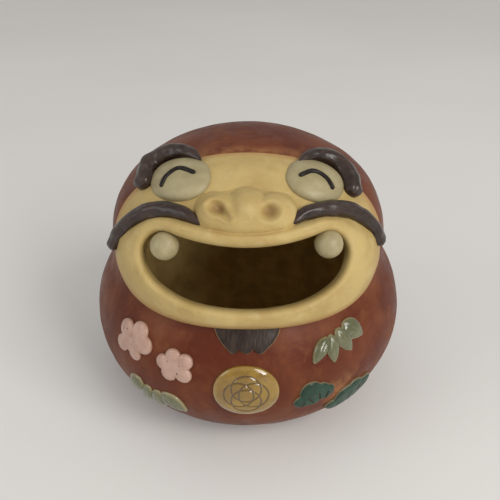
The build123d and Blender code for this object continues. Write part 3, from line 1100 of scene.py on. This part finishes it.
# ---- materials ----
def slip_brown():
    """Iron slip, blotched by the brush and the fire; rubbed orange at thin edges, raw inside."""
    g = Graph("brown_slip")
    blotch = g.noise(26, 5, 0.62, None, 0.6)
    patch = g.noise(70, 6, 0.6, None, 0.4)
    brushed = g.noise(60, 5, 0.55, (1.0, 1.0, 0.35))
    grain = g.noise(900, 3, 0.6)
    colour = g.mix(g.ramp(blotch, 0.34, 0.62), (0.098, 0.017, 0.005), (0.150, 0.038, 0.012))
    colour = g.tint(colour, patch, 0.50, 0.72, 0.7, (0.185, 0.066, 0.025))
    colour = g.tint(colour, brushed, 0.52, 0.36, 0.55, (0.092, 0.018, 0.006))
    colour = g.tint(colour, grain, 0.60, 0.72, 0.5, (0.060, 0.020, 0.010))
    thin = g.times(g.field("thin"), g.ramp(g.noise(90, 4), 0.3, 0.7, 0.4, 1.25))
    colour = g.tint(colour, thin, 0.15, 0.9, 0.9, (0.31, 0.135, 0.050))
    raw = g.mix(g.ramp(g.noise(60, 5), 0.35, 0.65), (0.64, 0.46, 0.17), (0.50, 0.34, 0.12))
    colour = g.mix(g.field("inside"), colour, raw)
    foot = g.mix(g.ramp(g.noise(120, 4), 0.35, 0.65), (0.36, 0.25, 0.15), (0.27, 0.17, 0.10))
    colour = g.mix(g.field("bare"), colour, foot)
    rough = g.ramp(patch, 0.35, 0.7, 0.42, 0.6)
    rough = g.add(rough, g.times(g.add(g.field("inside"), g.field("bare")), 0.3))
    relief = g.add(g.times(grain, 0.35), g.times(g.noise(260, 4), 0.8))
    return g.finish(colour, rough, relief, 0.00022, coat=0.05, coat_rough=0.25, level=0.22)


def clay_buff():
    """Bare fired clay, warm and a little grogged, toasted near the slip."""
    g = Graph("bare_buff_clay")
    cloud = g.noise(34, 5, 0.6)
    speck = g.noise(1500, 2, 0.5)
    colour = g.mix(g.ramp(cloud, 0.35, 0.65), (0.43, 0.30, 0.105), (0.52, 0.385, 0.150))
    colour = g.tint(colour, g.noise(110, 5), 0.50, 0.72, 0.5, (0.55, 0.425, 0.20))
    colour = g.tint(colour, g.field("edge"), 0.93, 1.0, 0.6, (0.36, 0.17, 0.06))
    # painted shade: darkens the clay in the nostrils and down the lip's inner wall inside the mouth
    colour = g.tint(colour, g.field("hollow_shade"), 0.25, 1.0, 0.72, (0.24, 0.135, 0.05))
    colour = g.tint(colour, speck, 0.66, 0.74, 0.55, (0.28, 0.17, 0.08))
    relief = g.add(g.times(speck, 0.3), g.noise(320, 5, 0.6))
    rough = g.ramp(cloud, 0.3, 0.7, 0.55, 0.72)
    return g.finish(colour, rough, relief, 0.00025, coat=0.05, coat_rough=0.35)


def slip_pale():
    """Grey-white slip under a thin clear glaze."""
    g = Graph("pale_slip")
    cloud = g.noise(85, 5, 0.6)
    colour = g.mix(g.ramp(cloud, 0.35, 0.66), (0.315, 0.265, 0.140), (0.39, 0.335, 0.190))
    colour = g.tint(colour, g.field("edge"), 0.90, 1.0, 0.45, (0.25, 0.19, 0.09))
    colour = g.tint(colour, g.noise(1300, 2), 0.66, 0.75, 0.5, (0.20, 0.15, 0.07))
    relief = g.times(g.noise(300, 4), 0.8)
    rough = g.ramp(cloud, 0.3, 0.7, 0.42, 0.52)
    return g.finish(colour, rough, relief, 0.00018, coat=0.12, coat_rough=0.25, level=0.4)


def glaze_black():
    """Black glaze on the smile lines, dulled a little in the firing."""
    g = Graph("black_glaze")
    cloud = g.noise(400, 4)
    colour = g.mix(g.ramp(cloud, 0.4, 0.65), (0.007, 0.005, 0.004), (0.022, 0.015, 0.011))
    rough = g.ramp(cloud, 0.3, 0.7, 0.38, 0.5)
    return g.finish(colour, rough, g.noise(600, 3), 0.00008, coat=0.05, coat_rough=0.15, level=0.25)


def slip_dark():
    """Matt warm grey slip on the brows and moustaches, with painted shade that darkens the underside of
    each roll.
    """
    g = Graph("dark_slip")
    cloud = g.noise(75, 5, 0.6)
    colour = g.mix(g.ramp(cloud, 0.35, 0.66), (0.019, 0.009, 0.006), (0.040, 0.021, 0.015))
    # painted shade: the lower side of each roll is darkened
    colour = g.tint(colour, g.field("turn"), 0.6, -0.2, 0.5, (0.020, 0.010, 0.008))
    colour = g.tint(colour, g.noise(260, 4), 0.58, 0.72, 0.5, (0.090, 0.052, 0.040))
    relief = g.add(g.noise(190, 5, 0.65), g.times(g.noise(900, 3), 0.3))
    rough = g.ramp(cloud, 0.3, 0.7, 0.28, 0.42)
    return g.finish(colour, rough, relief, 0.0004, coat=0.4, coat_rough=0.2, level=0.35)


def slip_charcoal():
    """Brushed charcoal slip with streaks of bare clay and a bare rim."""
    g = Graph("charcoal_slip")
    strokes = g.noise(160, 5, 0.6, (2.6, 1.0, 0.16))
    colour = g.mix(g.ramp(strokes, 0.35, 0.66), (0.020, 0.011, 0.008), (0.044, 0.028, 0.020))
    colour = g.tint(colour, strokes, 0.60, 0.76, 0.3, (0.13, 0.085, 0.05))
    colour = g.tint(colour, g.field("edge"), 0.955, 0.99, 0.8, (0.30, 0.18, 0.085))
    rough = g.ramp(strokes, 0.3, 0.7, 0.36, 0.52)
    return g.finish(colour, rough, strokes, 0.00016, coat=0.08, coat_rough=0.25, level=0.3)


def glaze_amber():
    """Running honey glaze, thin and pale on the rim, dark where it pools in the cuts."""
    g = Graph("amber_glaze")
    cloud = g.noise(85, 5, 0.6)
    colour = g.mix(g.ramp(cloud, 0.36, 0.64), (0.195, 0.104, 0.004), (0.275, 0.160, 0.008))
    colour = g.tint(colour, g.field("cut"), 0.15, 0.95, 0.8, (0.070, 0.032, 0.003))
    colour = g.tint(colour, g.field("edge"), 0.88, 0.985, 0.7, (0.31, 0.19, 0.035))
    rough = g.ramp(cloud, 0.3, 0.7, 0.10, 0.2)
    return g.finish(colour, rough, g.noise(130, 4), 0.0003, coat=0.9, coat_rough=0.05, ior=1.52)


def slip_pink():
    """Pink slip under a thin clear glaze, bare at the rim and dark in the pits."""
    g = Graph("pink_slip")
    cloud = g.noise(110, 5, 0.6)
    colour = g.mix(g.ramp(cloud, 0.35, 0.66), (0.40, 0.235, 0.175), (0.49, 0.315, 0.250))
    colour = g.tint(colour, g.field("edge"), 0.95, 1.0, 0.5, (0.40, 0.24, 0.16))
    colour = g.tint(colour, g.field("cut"), 0.3, 0.9, 0.85, (0.13, 0.062, 0.038))
    colour = g.tint(colour, g.noise(1100, 2), 0.64, 0.74, 0.45, (0.28, 0.16, 0.11))
    rough = g.ramp(cloud, 0.3, 0.7, 0.34, 0.5)
    return g.finish(colour, rough, g.noise(330, 4), 0.0002, coat=0.3, coat_rough=0.2, ior=1.5)


def glaze_celadon():
    """Grey-green glaze that thins to buff on the leaves' rims."""
    g = Graph("celadon_glaze")
    cloud = g.noise(120, 5, 0.6)
    colour = g.mix(g.ramp(cloud, 0.35, 0.66), (0.085, 0.090, 0.036), (0.135, 0.135, 0.062))
    colour = g.tint(colour, g.field("edge"), 0.84, 1.0, 0.7, (0.33, 0.265, 0.135))
    colour = g.tint(colour, g.noise(700, 3), 0.6, 0.74, 0.4, (0.10, 0.085, 0.045))
    rough = g.ramp(cloud, 0.3, 0.7, 0.2, 0.36)
    return g.finish(colour, rough, g.noise(220, 4), 0.0003, coat=0.6, coat_rough=0.1, ior=1.52)


def slip_teal():
    """Dark blue-green glaze inside a bare raised rim."""
    g = Graph("teal_slip")
    cloud = g.noise(130, 5, 0.6)
    colour = g.mix(g.ramp(cloud, 0.35, 0.66), (0.010, 0.034, 0.020), (0.022, 0.062, 0.040))
    colour = g.tint(colour, g.field("cut"), 0.25, 0.8, 0.8, (0.070, 0.042, 0.022))
    colour = g.tint(colour, g.field("edge"), 0.965, 0.995, 0.65, (0.28, 0.19, 0.105))
    rough = g.ramp(cloud, 0.3, 0.7, 0.36, 0.5)
    return g.finish(colour, rough, g.noise(300, 4), 0.00025, coat=0.1, coat_rough=0.2, level=0.35)


def dress(piece, material):
    """Makes the material the piece's only one."""
    piece.data.materials.clear()
    piece.data.materials.append(material)


def build():
    """Every piece with its own clay, slip or glaze."""
    pale = slip_pale()
    black = glaze_black()
    dark = slip_dark()
    pink = slip_pink()
    celadon = glaze_celadon()
    teal = slip_teal()
    body = make_body()
    paint_body(body)
    dress(body, slip_brown())
    dress(make_face(), clay_buff())
    for side, seed in (("left", 101), ("right", 111)):
        dress(make_eye(side), pale)
        dress(make_smile(side), black)
        dress(make_tooth(side), pale)
        brow = (BROWS[side], BROW_RADII, BROW_RISE, seed, 0.06, 0.04, 3.6)
        dress(make_roll(f"brow_{side}", *brow), dark)
        moustache = (MOUSTACHES[side], MOUSTACHE_RADII, MOUSTACHE_RISE, seed + 4, 0.05, 0.035, 3.4)
        dress(make_roll(f"moustache_{side}", *moustache), dark)
    dress(make_goatee(), slip_charcoal())
    dress(make_medallion(), glaze_amber())
    for which in BLOSSOMS:
        dress(make_blossom(which), pink)
    for order, name in enumerate(LEAVES):
        dress(make_leaf(name, order % 4), celadon)
    for name in PINES:
        dress(make_pine(name), teal)


# ---- stage, light and camera ----
def make_floor():
    """A wide plain pale table top."""
    mesh = bpy.data.meshes.new("table")
    mesh.from_pydata([(-6, -4, 0), (6, -4, 0), (6, 8, 0), (-6, 8, 0)], [], [(0, 1, 2, 3)])
    add_object("table", mesh)
    g = Graph("pale_table")
    cloud = g.noise(1.2, 3)
    colour = g.mix(g.ramp(cloud, 0.3, 0.7), (0.76, 0.755, 0.745), (0.80, 0.795, 0.78))
    rough = g.ramp(cloud, 0.3, 0.7, 0.55, 0.62)
    material = g.finish(colour, rough, g.noise(700, 2), 0.00003)
    mesh.materials.append(material)


def aim(item, place, target):
    """Stands a lamp or camera at place and turns it towards target."""
    item.location = place
    way = Vector(target) - Vector(place)
    item.rotation_euler = way.to_track_quat("-Z", "Y").to_euler()


def panel(name, place, target, wide, tall, power, colour):
    """One soft window of light, turned towards target."""
    data = bpy.data.lights.new(name, "AREA")
    data.shape = "RECTANGLE"
    data.size = wide
    data.size_y = tall
    data.energy = power
    data.color = colour
    aim(add_object(name, data), place, target)


def light_studio():
    """A warm even sky, a soft key from the right, a weak fill and four small panes of a window."""
    world = bpy.data.worlds.new("studio")
    bpy.context.scene.world = world
    world.use_nodes = True
    background = world.node_tree.nodes["Background"]
    background.inputs["Color"].default_value = (1.0, 0.97, 0.93, 1)
    background.inputs["Strength"].default_value = 0.52
    middle = (0, 0, 0.09)
    panel("key", (1.5, -1.5, 1.7), middle, 1.3, 1.3, 33, (1.0, 0.97, 0.93))
    panel("fill", (-1.9, -0.9, 1.1), middle, 1.2, 1.4, 9, (0.95, 0.97, 1.0))
    for column in (0, 1):
        for row in (0, 1):
            place = (0.78 + 0.17 * column, -1.5 + 0.08 * column, 0.62 + 0.2 * row)
            panel(f"window_{column}{row}", place, middle, 0.14, 0.17, 1.2, (1, 1, 1))


# Metres: where the camera stands and looks. It looks down on the doll by 30 degrees.
CAMERA_PLACE = (0.00144, -0.3897, 0.3266)
CAMERA_TARGET = (0.00144, 0, 0.1016)
LENS = 44.7


def set_camera():
    """The camera at the angle the doll is meant to be seen from."""
    data = bpy.data.cameras.new("camera")
    data.lens = LENS
    data.sensor_width = 36
    data.dof.use_dof = False
    camera = add_object("camera", data)
    aim(camera, CAMERA_PLACE, CAMERA_TARGET)
    bpy.context.scene.camera = camera


build()
make_floor()
light_studio()
set_camera()
bpy.context.scene.view_settings.view_transform = "Standard"
bpy.context.scene.view_settings.look = "None"

bpy.context.view_layer.update()
